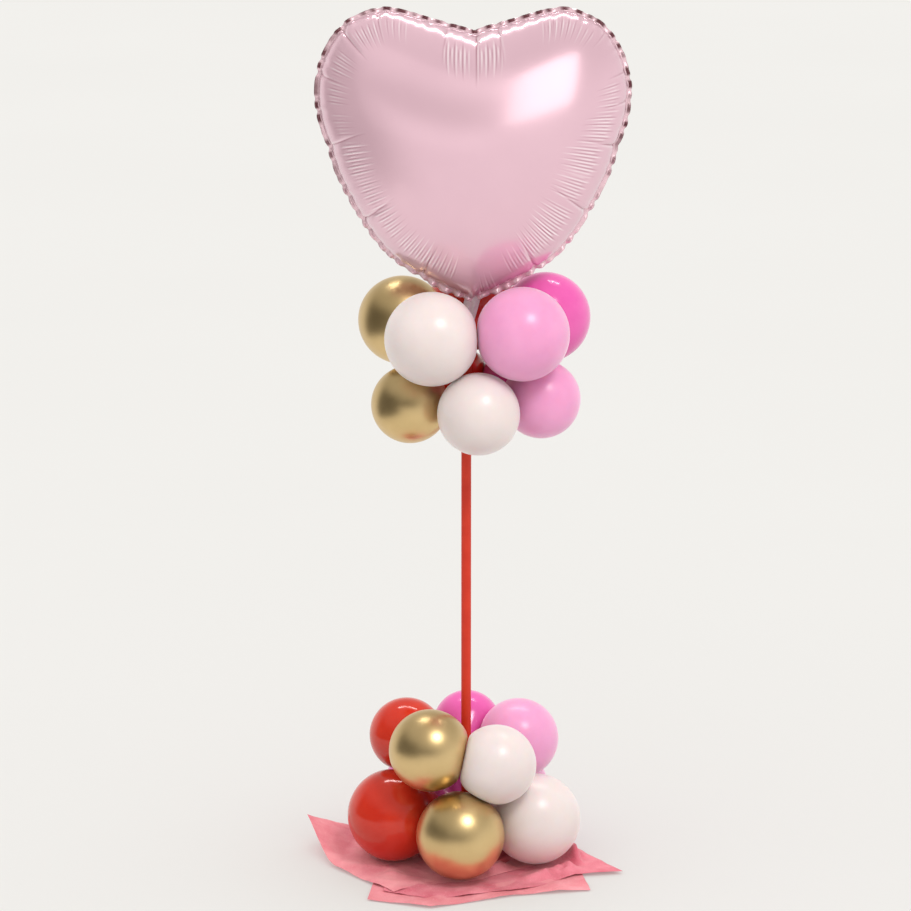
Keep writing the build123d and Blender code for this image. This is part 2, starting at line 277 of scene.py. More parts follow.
def tissue_paper(name, low, high):
    """Thin dyed tissue: pink, with pale streaks that are part fibres and part painted highlight, a matt
    face.
    """
    made = finish(name, low, high, 26, (0.7, 0.85), 0.5, 1400)
    tree = made.node_tree
    shader = tree.nodes["Principled BSDF"]
    group = tree.nodes["finish"]
    place = tree.nodes["Texture Coordinate"]
    fibre_and_highlight_streaks = tree.nodes.new("ShaderNodeTexNoise")
    fibre_and_highlight_streaks.inputs["Scale"].default_value = 700
    fibre_and_highlight_streaks.inputs["Detail"].default_value = 5
    fibre_and_highlight_streaks.inputs["Distortion"].default_value = 1.5
    stretch = tree.nodes.new("ShaderNodeMapping")
    stretch.inputs["Scale"].default_value = (1.0, 0.25, 1.0)
    # pale streaks mixed into the colour: partly fibres, partly painted highlight
    pale = tree.nodes.new("ShaderNodeMapRange")
    pale.inputs["From Min"].default_value = 0.55
    pale.inputs["From Max"].default_value = 0.75
    pale.inputs["To Max"].default_value = 0.35
    mix = tree.nodes.new("ShaderNodeMix")
    mix.data_type = "RGBA"
    mix.inputs["B"].default_value = (0.93, 0.5, 0.52, 1)
    tree.links.new(place.outputs["Object"], stretch.inputs["Vector"])
    tree.links.new(stretch.outputs["Vector"], fibre_and_highlight_streaks.inputs["Vector"])
    tree.links.new(fibre_and_highlight_streaks.outputs["Fac"], pale.inputs["Value"])
    tree.links.new(pale.outputs["Result"], mix.inputs["Factor"])
    tree.links.new(group.outputs["Colour"], mix.inputs["A"])
    tree.links.new(mix.outputs["Result"], shader.inputs["Base Color"])
    crumple = tree.nodes.new("ShaderNodeTexVoronoi")
    crumple.feature = "DISTANCE_TO_EDGE"
    crumple.inputs["Scale"].default_value = 24
    wander = tree.nodes.new("ShaderNodeTexNoise")
    wander.inputs["Scale"].default_value = 18
    bent = tree.nodes.new("ShaderNodeMix")
    bent.data_type = "VECTOR"
    bent.inputs["Factor"].default_value = 0.06
    dent = tree.nodes.new("ShaderNodeBump")
    dent.inputs["Strength"].default_value = 0.55
    dent.inputs["Distance"].default_value = 0.006
    tree.links.new(place.outputs["Object"], wander.inputs["Vector"])
    tree.links.new(place.outputs["Object"], bent.inputs["A"])
    tree.links.new(wander.outputs["Color"], bent.inputs["B"])
    tree.links.new(bent.outputs["Result"], crumple.inputs["Vector"])
    tree.links.new(crumple.outputs["Distance"], dent.inputs["Height"])
    tree.links.new(group.outputs["Normal"], dent.inputs["Normal"])
    tree.links.new(dent.outputs["Normal"], shader.inputs["Normal"])
    shader.inputs["Sheen Weight"].default_value = 0.25
    shader.inputs["Sheen Roughness"].default_value = 0.5
    shader.inputs["Sheen Tint"].default_value = (1.0, 0.75, 0.75, 1)
    shader.inputs["Specular IOR Level"].default_value = 0.25
    return made


TISSUES = (tissue_paper("tissue_lowest", (0.68, 0.17, 0.21), (0.80, 0.30, 0.34)),
           # the middle sheet's deeper tone is painted shade, for the shade under the balloons and where the
           # paper lies doubled
           tissue_paper("tissue_middle", (0.58, 0.10, 0.15), (0.78, 0.24, 0.30)),
           tissue_paper("tissue_top", (0.68, 0.17, 0.22), (0.82, 0.32, 0.35)))
CORNER_FOLD = ((-0.148, 0.078), (-0.178, -0.045))   # the top sheet's corner stands up past this
CORNER_TIP = (-0.209, 0.038)
CORNER_RISE = 0.036
RUFFLES = (
    (),
    ((0.0896, -0.0344, 0.050, -125, -20, 0.014), (0.0896, -0.0344, 0.053, -15, 45, 0.022)),
    ((0.0, 0.0, 0.070, -88, -38, 0.017), (-0.0075, -0.0957, 0.052, -30, 40, 0.010),
     (-0.094, -0.020, 0.058, -100, -50, 0.006)),
)


def raised_corner(points):
    """Heights added past the corner's fold, curling up to the tip."""
    a, b, tip = (np.array(p) for p in (CORNER_FOLD[0], CORNER_FOLD[1], CORNER_TIP))
    along = (b - a) / np.linalg.norm(b - a)
    out = np.array((along[1], -along[0]))
    if (tip - a) @ out < 0:
        out = -out
    reach = (tip - a) @ out
    past = np.clip(((points - a) @ out + 0.012) / (reach + 0.012), 0, 1)
    return CORNER_RISE * past ** 1.25


for number, corners in enumerate(SHEET_CUTS):
    if number == 2:
        corners = corners[:7] + ((CORNER_TIP[0] * 1000, CORNER_TIP[1] * 1000),) + corners[7:]
    flat, faces = cut_sheet(corners)
    x, y = flat[:, 0], flat[:, 1]
    rise = np.full(len(x), PAPER_THICKNESS)
    for layer in range(number + 1):
        rise += paper_creases(x, y, layer) * (1 if layer == number else 0.3)
        rise += ruffle(x, y, RUFFLES[layer]) + (SHEET_GAP if layer else 0)
    if number == 2:
        rise += raised_corner(flat)
    clear = 0.0006 + (len(SHEET_CUTS) - 1 - number) * SHEET_GAP
    rise = np.maximum(np.minimum(rise, under_balloons(x, y, clear)), number * SHEET_GAP + 0.0001)
    sheet = mesh_piece(f"tissue_layer_{number + 1}", np.column_stack((x, y, rise)), faces,
                       PAPER_THICKNESS)
    dress(sheet, TISSUES[number])
    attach(sheet, "base")
    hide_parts(f"tissue_sheet_{number + 1}")
    size = (float(x.max() - x.min()), float(y.max() - y.min()))


# ---- pole -----------------------------------------------------------------------------------
# A thin tube, half an inch across, sprayed satin red, with a moulded plug in its foot that
# stands in the socket.

pole_enamel = finish("pole_red_enamel", (0.54, 0.026, 0.009), (0.62, 0.038, 0.014), 35,
                     (0.35, 0.5), 0.12, 1200, Specular_IOR_Level=0.3)
plug_plastic = finish("plug_plastic", (0.03, 0.03, 0.03), (0.06, 0.06, 0.06), 60, (0.4, 0.6))
dress(nodes["pole_tube"], pole_enamel)
dress(nodes["pole_foot_plug"], plug_plastic)


# ---- latex balloons -------------------------------------------------------------------------
# Five-inch latex balloons in four rings of five. Each is blown up round, drawn out to its neck
# at the pole, and pressed flat where it meets its neighbours.

LATEX_GAP = 0.0004
NECK_RADIUS = 0.0036
NECK_LENGTH = 0.007
TIE_RADIUS = 0.0105
TIE_HEIGHT = 0.011
POLE_RADIUS = 0.00635
TIE_CLEARANCE = 0.00035
PRESS_SOFTNESS = 0.0016        # how gently a balloon rounds into a pressed flat
CURVE_SHARE = 0.72             # how much of the drawn-out side curves; the rest is straight neck
SEGMENTS, RINGS = 72, 44

# ring: height, how far below it the necks are twisted, shift to the right, and per balloon
# its colour, radius, reach from the pole, turn round the pole from the front, own height
RINGS_OF_BALLOONS = {
    "base_lower": (0.062, 0.0, 0.0, (
        ("gold", 56.5, 96, -4.5, 0), ("white", 58.5, 96, 69, 0), ("pink", 56.0, 94, 145, 0),
        ("hot_pink", 57.5, 96, -147, 0), ("red", 60.0, 96, -78, 0))),
    "base_upper": (0.149, 0.0, 0.0, (
        ("gold", 52.5, 84, -33.5, 18.5), ("white", 51.0, 85, 27, 1.5),
        ("pink", 52.0, 76, 115, 0.5), ("hot_pink", 44.5, 80, 179, 4),
        ("red", 48.5, 82, -109, 7))),
    "top_lower": (0.613, 0.0, 0.009, (
        ("white", 51.5, 86, 4, 0), ("pink", 49.5, 88, 76, 4), ("hot_pink", 49.5, 86, 141, 0),
        ("red", 54.0, 86, -160, 0), ("gold", 49.0, 86, -68, 0))),
    "top_upper": (0.712, 0.028, 0.009, (
        ("white", 58.5, 96, -33, -5), ("pink", 58.5, 96, 39, 0), ("hot_pink", 57.0, 96, 108, 0),
        ("red", 57.0, 96, 181, 0), ("gold", 56.0, 93, -105, -2.5))),
}
CLUSTERS = {"base_cluster": ("base_lower", "base_upper"), "top_cluster": ("top_lower", "top_upper")}


def round_middle(ring, balloon):
    """Middle of a balloon's round part."""
    height, _, shift, _ = RINGS_OF_BALLOONS[ring]
    _, _, reach, turn, own = balloon
    angle = math.radians(turn)
    return Vector((shift + reach / 1000 * math.sin(angle), -reach / 1000 * math.cos(angle),
                   height + own / 1000))


def pressed_planes(cluster, ring, balloon):
    """Planes where its neighbours press a balloon flat: point and outward direction."""
    own = round_middle(ring, balloon)
    radius = balloon[1] / 1000
    planes = []
    for other_ring in CLUSTERS[cluster]:
        for other in RINGS_OF_BALLOONS[other_ring][3]:
            if other is balloon:
                continue
            across = round_middle(other_ring, other) - own
            far = across.length
            apart = abs((other[3] - balloon[3] + 180) % 360 - 180)
            beside = other_ring == ring and apart < 100
            if not beside and far > radius + other[1] / 1000 + LATEX_GAP:
                continue
            share = (far ** 2 + radius ** 2 - (other[1] / 1000) ** 2) / (2 * far)
            planes.append((own + across / far * (share - LATEX_GAP / 2), across / far))
    return planes


def blow_up(name, cluster, ring, balloon):
    """One tied balloon, closed at its tip and at its neck."""
    height, drop, shift, _ = RINGS_OF_BALLOONS[ring]
    tie = Vector((shift, 0, height - drop))
    middle = round_middle(ring, balloon)
    axis = (middle - tie).normalized()
    reach = (middle - tie).length
    radius = balloon[1] / 1000
    turn = axis.to_track_quat("Z", "Y").to_matrix()
    bpy.ops.object.select_all(action="DESELECT")
    bpy.ops.mesh.primitive_uv_sphere_add(segments=SEGMENTS, ring_count=RINGS, radius=radius,
                                         location=middle, rotation=turn.to_euler())
    piece = bpy.context.object
    piece.name = name
    bpy.ops.object.transform_apply(location=True, rotation=True, scale=True)
    mesh = piece.data
    points = np.empty(len(mesh.vertices) * 3)
    mesh.vertices.foreach_get("co", points)
    points = points.reshape(-1, 3)
    # draw the side that faces the pole out into a neck
    slope = math.asin(axis.z)
    tie_round = TIE_RADIUS + abs(shift)
    neck_start = (tie_round + 0.0003) / math.cos(slope) + NECK_RADIUS * abs(math.tan(slope))
    neck_end = neck_start + NECK_LENGTH
    local = (points - np.array(middle)) @ np.array(turn)
    lift = np.arctan2(np.hypot(local[:, 0], local[:, 1]), local[:, 2])
    round_about = np.arctan2(local[:, 1], local[:, 0])
    back = math.hypot(reach - neck_end, NECK_RADIUS)
    last = math.pi - math.atan2(NECK_RADIUS, reach - neck_end) - math.acos(radius / back)
    share = np.clip((lift - last) / (math.pi - last), 0, 1)
    run = np.clip(share / CURVE_SHARE, 0, 1)
    start = np.array((reach + radius * math.cos(last), radius * math.sin(last)))
    end = np.array((neck_end, NECK_RADIUS))
    pull = np.linalg.norm(start - end) * 0.9
    leave = np.array((-math.sin(last), math.cos(last))) * pull
    arrive = np.array((-1.0, 0.0)) * pull * 0.7
    h00, h10 = 2 * run ** 3 - 3 * run ** 2 + 1, run ** 3 - 2 * run ** 2 + run
    h01, h11 = -2 * run ** 3 + 3 * run ** 2, run ** 3 - run ** 2
    along = h00 * start[0] + h10 * leave[0] + h01 * end[0] + h11 * arrive[0]
    wide = h00 * start[1] + h10 * leave[1] + h01 * end[1] + h11 * arrive[1]
    neck = np.clip((share - CURVE_SHARE) / (1 - CURVE_SHARE), 0, 1)
    along = along - neck * NECK_LENGTH
    wide = np.where(share > 0.999, 0, np.maximum(wide, NECK_RADIUS * 0.95))
    drawn = share > 0
    local[drawn] = np.column_stack((wide * np.cos(round_about), wide * np.sin(round_about),
                                    along - reach))[drawn]
    points = local @ np.array(turn).T + np.array(middle)
    # press it against its neighbours
    for origin, out in pressed_planes(cluster, ring, balloon):
        inside = (np.array(origin) - points) @ np.array(out)
        soft = PRESS_SOFTNESS * np.logaddexp(0, inside / PRESS_SOFTNESS)
        points += np.outer(inside - soft, np.array(out))
    mesh.vertices.foreach_set("co", points.ravel())
    mesh.update()
    bpy.ops.object.shade_smooth()
    return piece


def latex(name, low, high, gloss, sheen, tint, **plain):
    """Stretched latex: nearly even colour, soft gloss, a pale bloom where it turns away."""
    return finish(name, low, high, 22, gloss, 0.03, 260, Sheen_Weight=sheen,
                  Sheen_Roughness=0.35, Sheen_Tint=(*tint, 1), **plain)


LATEX = {
    "white": latex("latex_white", (0.69, 0.605, 0.59), (0.73, 0.645, 0.63), (0.285, 0.325), 0.5,
                   (1.0, 0.96, 0.95), Subsurface_Weight=0.25, Subsurface_Scale=0.012),
    "pink": latex("latex_pink", (0.73, 0.29, 0.51), (0.78, 0.335, 0.56), (0.285, 0.32), 0.5,
                  (1.0, 0.85, 0.93), Subsurface_Weight=0.2, Subsurface_Scale=0.012),
    "hot_pink": latex("latex_hot_pink", (0.66, 0.085, 0.35), (0.73, 0.115, 0.40), (0.16, 0.2), 0.35,
                      (1.0, 0.7, 0.85)),
    "red": latex("latex_red", (0.50, 0.021, 0.008), (0.57, 0.032, 0.013), (0.11, 0.15), 0.15,
                 (1.0, 0.6, 0.5)),
    "gold": latex("latex_gold", (0.70, 0.51, 0.245), (0.76, 0.56, 0.28), (0.33, 0.37), 0.0,
                  (1.0, 0.9, 0.7), Metallic=1.0),
}

for cluster, rings in CLUSTERS.items():
    for ring in rings:
        for balloon in RINGS_OF_BALLOONS[ring][3]:
            colour = balloon[0]
            piece = blow_up(f"blown_{ring}_{colour}", cluster, ring, balloon)
            dress(piece, LATEX[colour])
            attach(piece, cluster)
            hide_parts(f"{ring}_balloon_{colour}")


# ---- twisted necks --------------------------------------------------------------------------
# The five necks of a ring are knotted in pairs and twisted round the pole into one bundle,
# which grips it. The top rings hang a little off the pole, so their bundles are thicker there.

BUNDLE_STRANDS = 5
BUNDLE_TWISTS = 3
BUNDLE_AROUND, BUNDLE_ACROSS = 120, 30
neck_latex = finish("latex_neck", (0.55, 0.06, 0.06), (0.66, 0.12, 0.13), 160, (0.3, 0.45), 0.3, 500)


def twist_bundle(name, ring):
    """Closed ring of twisted strands between the pole and the ring's outside."""
    height, drop, shift, _ = RINGS_OF_BALLOONS[ring]
    outer = TIE_RADIUS + abs(shift)
    inner = POLE_RADIUS + TIE_CLEARANCE
    points, faces = [], []
    for i in range(BUNDLE_AROUND):
        around = 2 * math.pi * i / BUNDLE_AROUND
        far = shift * math.cos(around) + math.sqrt(outer ** 2 - (shift * math.sin(around)) ** 2)
        half = (far - inner) / 2
        for j in range(BUNDLE_ACROSS):
            across = 2 * math.pi * j / BUNDLE_ACROSS
            groove = abs(math.sin(BUNDLE_STRANDS / 2 * across + BUNDLE_TWISTS * around))
            full = 0.84 + 0.16 * groove ** 0.6
            radius = inner + half + half * full * math.cos(across)
            points.append((radius * math.cos(around), radius * math.sin(around),
                           height - drop + TIE_HEIGHT / 2 * full * math.sin(across)))
            a, b = i * BUNDLE_ACROSS, (i + 1) % BUNDLE_AROUND * BUNDLE_ACROSS
            k = (j + 1) % BUNDLE_ACROSS
            faces.append((a + j, b + j, b + k, a + k))
    return mesh_piece(name, points, faces)


for cluster, rings in CLUSTERS.items():
    for ring in rings:
        bundle = twist_bundle(f"twisted_necks_{ring}", ring)
        dress(bundle, neck_latex)
        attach(bundle, cluster)
        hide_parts(f"{ring}_tie")


# ---- foil heart -----------------------------------------------------------------------------
# Two heart-shaped panels of pearl pink metallised film, welded along a narrow flat seam and
# blown tight. The film can't stretch, so it puckers inside the seam and folds in at creases.

TIP = Vector((0.008, 0.0, 0.743))
NOTCH = 0.331
LOBE_TOP = 0.359
HALF_WIDTH = 0.1905
HALF_DEPTH = 0.080
MIDDLE = 0.6 * NOTCH
LOBE = ((0.24, 0.957), (0.55, 1.0), (0.725, 0.978), (0.85, 0.935), (0.955, 0.845), (1.0, 0.745),
        (0.985, 0.64), (0.92, 0.53), (0.85, 0.42), (0.66, 0.24), (0.44, 0.121))
AROUND = 1280
SEAM_WIDTH = 0.006
SEAM_HALF = 0.00022
FILM = 0.00015
DEEP = 0.064                   # how far in the puckered band reaches
FLANGE_STEPS = (-1.0, -0.66, -0.33)
BAND_STEPS = (0, 0.0008, 0.002, 0.004, 0.0065, 0.0095, 0.013, 0.0165, 0.02, 0.0235, 0.027,
              0.0305, 0.034, 0.0375, 0.041, 0.0445, 0.048, 0.0515, 0.055, 0.0595, DEEP)
INNER_STEPS = ((2, 7), (4, 6), (8, 5), (16, 4))     # every nth line, for that many rings

# creases: place along the seam from the notch, over the right lobe, to the tip and back
# up the left side, as a share; length in metres; how deep it folds; how much it leans
CREASES = (
    (0.003, 0.057, 1.0, 0.0), (0.026, 0.040, 0.6, 0.10), (0.085, 0.028, 0.55, 0.0),
    (0.145, 0.022, 0.35, 0.0), (0.191, 0.022, 0.5, 0.0), (0.222, 0.030, 0.6, 0.15),
    (0.270, 0.054, 1.0, -0.1), (0.345, 0.062, 1.0, -0.25), (0.426, 0.048, 0.9, -0.2),
    (0.489, 0.022, 0.6, 0.0), (0.559, 0.047, 0.8, 0.15), (0.645, 0.052, 0.9, 0.2),
    (0.730, 0.050, 0.8, 0.3), (0.805, 0.034, 0.7, 0.0), (0.857, 0.046, 0.8, 0.0),
    (0.898, 0.036, 0.7, 0.0), (0.973, 0.040, 0.5, -0.1),
)
# puckers: groups of fine parallel ridges inside the seam's round edge: middle, half width,
# where they start and end inside the seam, in metres, and height as a share
PUCKERS = (
    (0.016, 0.013, 0.014, 0.046, 1.0), (0.984, 0.014, 0.014, 0.046, 1.0),
    (0.093, 0.022, 0.008, 0.026, 1.0), (0.127, 0.012, 0.010, 0.026, 0.6),
    (0.215, 0.020, 0.012, 0.034, 0.8), (0.252, 0.020, 0.014, 0.046, 1.0),
    (0.292, 0.022, 0.018, 0.058, 1.0), (0.322, 0.020, 0.020, 0.056, 0.9),
    (0.370, 0.022, 0.018, 0.058, 1.0), (0.402, 0.022, 0.018, 0.056, 1.0),
    (0.438, 0.014, 0.016, 0.042, 0.9), (0.480, 0.010, 0.004, 0.026, 0.7),
    (0.548, 0.022, 0.018, 0.044, 1.0), (0.585, 0.024, 0.018, 0.046, 1.0),
    (0.632, 0.024, 0.018, 0.044, 0.9), (0.672, 0.020, 0.018, 0.042, 0.8),
    (0.712, 0.022, 0.016, 0.044, 1.0), (0.752, 0.016, 0.016, 0.036, 0.5),
    (0.790, 0.016, 0.014, 0.034, 0.8), (0.826, 0.016, 0.012, 0.036, 0.8),
    (0.880, 0.018, 0.010, 0.032, 1.0), (0.918, 0.014, 0.008, 0.024, 0.8),
)
PUCKER_LENGTH = 0.0048
PUCKER_HEIGHT = 0.00030
ROUNDING = 26                  # how much the inner rows lose the notch and the tip
SEAM_WAVES = ((74, 1.0, 0.3), (53, 0.7, 1.1), (97, 0.45, 2.0))     # count, share and start of each
SEAM_RIPPLE, SEAM_SWAY = 0.0005, 0.0017      # how far those waves move the seam, in its plane and out
NICK_DEPTH, NICK_WIDTH = 0.0018, 0.0045      # how far a crease pulls the seam in
FLARE_PLACE, FLARE_WIDTH, FLARE_SHARE = 0.040, 0.020, 0.7     # the seam is wider near the tip
EDGE_END = 0.0235              # where the clean round edge goes over into the blown film
CREASE_DEPTH, CREASE_SWELL = 0.0034, 0.0008
# width of the painted shade line in a crease, and width and offset of the painted highlight beside it
CREASE_LINE, CREASE_SHINE = 0.0009, 0.0011


def heart_seam():
    """Evenly spaced points along the weld, from the notch clockwise, in the heart's own frame."""
    ends = [(0.0, NOTCH)] + [(x * HALF_WIDTH, z * LOBE_TOP) for x, z in LOBE] + [(0.0, 0.0)]
    knots = [np.array(p) for p in ends]
    knots = [2 * knots[0] - knots[1]] + knots + [2 * knots[-1] - knots[-2]]
    line = []
    for a, b, c, d in zip(knots, knots[1:], knots[2:], knots[3:]):
        for t in np.linspace(0, 1, 80, endpoint=False):
            line.append(0.5 * (2 * b + (c - a) * t + (2 * a - 5 * b + 4 * c - d) * t * t
                               + (3 * b - a - 3 * c + d) * t ** 3))
    line = np.array(line + [knots[-2]])
    walked = np.concatenate(((0,), np.cumsum(np.linalg.norm(np.diff(line, axis=0), axis=1))))
    even = np.linspace(0, walked[-1], AROUND // 2 + 1)
    right = np.column_stack([np.interp(even, walked, line[:, k]) for k in (0, 1)])
    left = right[-2:0:-1] * (-1, 1)
    return np.vstack((right, left)), 2 * walked[-1]


def smooth_round(values, spread):
    """Blur a closed row of values over spread places."""
    count = len(values)
    offset = np.minimum(np.arange(count), count - np.arange(count))
    weight = np.exp(-0.5 * (offset / spread) ** 2)
    weight /= weight.sum()
    out = np.fft.ifft(np.fft.fft(values, axis=0) * np.fft.fft(weight).reshape(-1, *[1] * (values.ndim - 1)),
                      axis=0)
    return out.real


def swell_field(seam):
    """Height of a film blown up inside the seam: a lookup over the heart, 1 at its highest."""
    step = 0.0025
    xs = np.arange(-0.2, 0.2001, step)
    zs = np.arange(-0.01, 0.3701, step)
    gx, gz = np.meshgrid(xs, zs)
    inside = np.zeros(gx.shape, bool)
    for a, b in zip(seam, np.roll(seam, -1, axis=0)):
        spans = (a[1] > gz) != (b[1] > gz)
        if abs(b[1] - a[1]) > 1e-12:
            inside ^= spans & (gx < a[0] + (gz - a[1]) / (b[1] - a[1]) * (b[0] - a[0]))
    field = np.zeros(gx.shape)
    odd = (np.add.outer(np.arange(len(zs)), np.arange(len(xs))) % 2).astype(bool)
    for _ in range(500):
        for colour in (odd, ~odd):
            near = np.zeros(field.shape)
            near[1:-1, 1:-1] = (field[:-2, 1:-1] + field[2:, 1:-1] + field[1:-1, :-2]
                                + field[1:-1, 2:]) / 4 + 1e-3
            active = inside & colour
            field[active] += 1.93 * (near[active] - field[active])
    field = np.maximum(field / field.max(), 0) ** 0.5

    def look(x, z):
        """Height at these places, from the four nearest points of the lookup."""
        i = np.clip((x - xs[0]) / step, 0, len(xs) - 1.001)
        j = np.clip((z - zs[0]) / step, 0, len(zs) - 1.001)
        i0, j0 = i.astype(int), j.astype(int)
        fi, fj = i - i0, j - j0
        return (field[j0, i0] * (1 - fi) * (1 - fj) + field[j0, i0 + 1] * fi * (1 - fj)
                + field[j0 + 1, i0] * (1 - fi) * fj + field[j0 + 1, i0 + 1] * fi * fj)
    return look


def round_gap(places, middle):
    """Signed way from middle to each place round the closed seam, as a share of it."""
    return (places - middle + 0.5) % 1 - 0.5


seam, seam_length = heart_seam()
swell = swell_field(seam)
places = np.arange(AROUND) / AROUND
tangent = np.roll(seam, -1, axis=0) - np.roll(seam, 1, axis=0)
inward = np.column_stack((tangent[:, 1], -tangent[:, 0]))
inward /= np.linalg.norm(inward, axis=1)[:, None]
if (inward[AROUND // 4] @ (np.array((0, MIDDLE)) - seam[AROUND // 4])) < 0:
    inward = -inward
lean_in = smooth_round(inward, 26)
lean_in /= np.linalg.norm(lean_in, axis=1)[:, None]
edge_in = smooth_round(inward, 5)
edge_in /= np.linalg.norm(edge_in, axis=1)[:, None]


def heart_panel(name, side, phase):
    """One panel: side is -1 in front and 1 behind. Its puckers differ by phase."""
    middle = np.array((0.0, MIDDLE))
    away = np.linalg.norm(seam - middle, axis=1)
    ripple = np.zeros(AROUND)
    for waves, share, start in SEAM_WAVES:
        ripple += share * np.sin(2 * math.pi * waves * places + start)
    nick = np.zeros(AROUND)
    for place, _, strength, _ in CREASES:
        gap = round_gap(places, place) * seam_length
        nick += strength * np.exp(-(gap / NICK_WIDTH) ** 2)
    shift = NICK_DEPTH * nick - SEAM_RIPPLE * ripple
    rim = seam + edge_in * shift[:, None]
    from_tip = np.abs(round_gap(places, 0.5)) * seam_length
    flare = 1 + FLARE_SHARE * np.exp(-((from_tip - FLARE_PLACE) / FLARE_WIDTH) ** 2)
    rows, sway = [], []
    for step in FLANGE_STEPS:
        width = SEAM_WIDTH * (1 - 0.12 * np.abs(ripple) / 2) * flare
        rows.append(rim + edge_in * (step * width)[:, None])
        sway.append(SEAM_SWAY * step * ripple * (1 - 0.5 * nick))
    control = seam + lean_in * (0.45 * away)[:, None]
    levels = [d / (0.9 * away) for d in BAND_STEPS]
    deepest = levels[-1]
    inner = sum(count for _, count in INNER_STEPS)
    levels += [deepest + (1 - deepest) * (k / (inner + 0.35)) for k in range(1, inner + 1)]
    for t in levels:
        t = t[:, None]
        spot = (1 - t) ** 2 * seam + 2 * t * (1 - t) * control + t * t * middle
        reach = np.linalg.norm(spot - seam, axis=1)
        blur = ROUNDING * min(1.0, float(reach.mean()) / 0.09)
        if blur > 1:
            spot = smooth_round(spot, blur)
        rows.append(spot + edge_in * (shift * np.exp(-reach / 0.005))[:, None])
    grid = np.array(rows)
    first = len(FLANGE_STEPS)
    # the blown height, with a clean round edge next to the weld
    height = np.array([swell(row[:, 0], row[:, 1]) for row in grid[first:]])
    k = BAND_STEPS.index(EDGE_END)
    walked = np.array(BAND_STEPS)
    edge = smooth_round(height[k], 6)
    slope = smooth_round((height[k + 1] - height[k - 1]), 6) / (walked[k + 1] - walked[k - 1])
    tilt = np.clip(slope * walked[k] / edge, 0.05, 0.9) - 0.5
    for i in range(k):
        s = walked[i] / walked[k]
        height[i] = edge * math.sqrt(s) * (1 - tilt + tilt * s)
    for i in range(k, len(height)):
        height[i] = smooth_round(height[i], 4)
    depth = np.zeros(grid.shape[:2])
    depth[first:] = height * HALF_DEPTH
    body = np.dstack((grid[:, :, 0], -depth, grid[:, :, 1]))
    # the way out of the film at each point
    down = np.gradient(body, axis=0)
    along = (np.roll(body, -1, axis=1) - np.roll(body, 1, axis=1)) / 2
    out = np.cross(down, along)
    out /= np.linalg.norm(out, axis=2)[:, :, None] + 1e-12
    if out[-1, 0, 1] > 0:
        out = -out
    # creases and puckers: the film is moved, and painted shade and painted highlight are kept for its
    # colour
    move, shade = np.zeros(depth.shape), np.zeros(depth.shape)
    for row in range(first, first + len(BAND_STEPS) + 6):
        reach = np.linalg.norm(grid[row] - seam, axis=1)
        for place, length, strength, lean in CREASES:
            gap = round_gap(places, place) * seam_length - lean * reach
            fade = np.clip(1 - reach / length, 0, 1)
            wide = 0.0022 + 0.004 * (1 - fade)
            rounded = np.sqrt(gap ** 2 + 0.0005 ** 2)
            enter = np.clip(reach / 0.004, 0, 1)
            move[row] -= strength * CREASE_DEPTH * fade ** 1.3 * enter * np.exp(-rounded / wide)
            # painted shade along the crease's bottom, and a painted highlight just beside it
            line = strength * fade ** 0.7 * enter
            shade[row] += line * np.exp(-(gap / CREASE_LINE) ** 2)
            shade[row] -= 0.5 * line * np.exp(-((gap - 2 * CREASE_SHINE) / CREASE_SHINE) ** 2)
            move[row] += strength * CREASE_SWELL * fade * enter * np.exp(-(gap / 0.010) ** 2)
        for place, half, begin, end, high in PUCKERS:
            gap = round_gap(places, place + 0.004 * phase)
            weight = np.clip(1.25 * (1 - (np.abs(gap) / half) ** 4), 0, 1)
            ragged = 0.004 * np.sin(places * seam_length * 700 + phase)
            come = np.clip((reach - begin - ragged) / 0.005, 0, 1)
            leave = np.clip((end - ragged * 2 - reach) / 0.018, 0, 1)
            wave = np.sin(math.pi * gap * seam_length / PUCKER_LENGTH + phase)
            ridge = 1 - 1.6 * np.abs(wave) ** 1.5
            move[row] += high * PUCKER_HEIGHT * ridge * weight * come * leave
            # painted highlight on the pucker ridges and painted shade in their valleys
            shade[row] -= 0.8 * high * ridge * weight * come * leave
    body += out * move[:, :, None]
    body[:first, :, 1] = sway
    body[:, :, 1] -= SEAM_HALF
    if side > 0:
        flange = body[:first].copy()
        body[:, :, 1] *= -1
        flange[:, :, 1] += 2 * SEAM_HALF
        body[:first] = flange
    # points and faces; towards the middle every second line is left out, ring by ring
    points, index = [], {}
    strides = [1] * (first + len(BAND_STEPS))
    for stride, count in INNER_STEPS:
        strides += [stride] * count
    for row, stride in enumerate(strides):
        for i in range(0, AROUND, stride):
            index[row, i] = len(points)
            x, y, z = body[row, i]
            points.append((TIP.x + x, TIP.y + y, TIP.z + z))
    faces = []
    for row in range(len(strides) - 1):
        a, b = strides[row], strides[row + 1]
        for i in range(0, AROUND, b):
            j = (i + b) % AROUND
            if a == b:
                faces.append((index[row, i], index[row, j], index[row + 1, j], index[row + 1, i]))
            else:
                half = i + a
                faces.append((index[row, i], index[row, half], index[row + 1, i]))
                faces.append((index[row, half], index[row, j], index[row + 1, j], index[row + 1, i]))
    last = len(strides) - 1
    hub = len(points)
    ring = [index[last, i] for i in range(0, AROUND, strides[last])]
    average = np.mean([points[i] for i in ring], axis=0)
    points.append(tuple(average))
    faces += [(a, b, hub) for a, b in zip(ring, ring[1:] + ring[:1])]
    if side > 0:
        faces = [tuple(reversed(f)) for f in faces]
    piece = mesh_piece(name, points, faces, FILM)
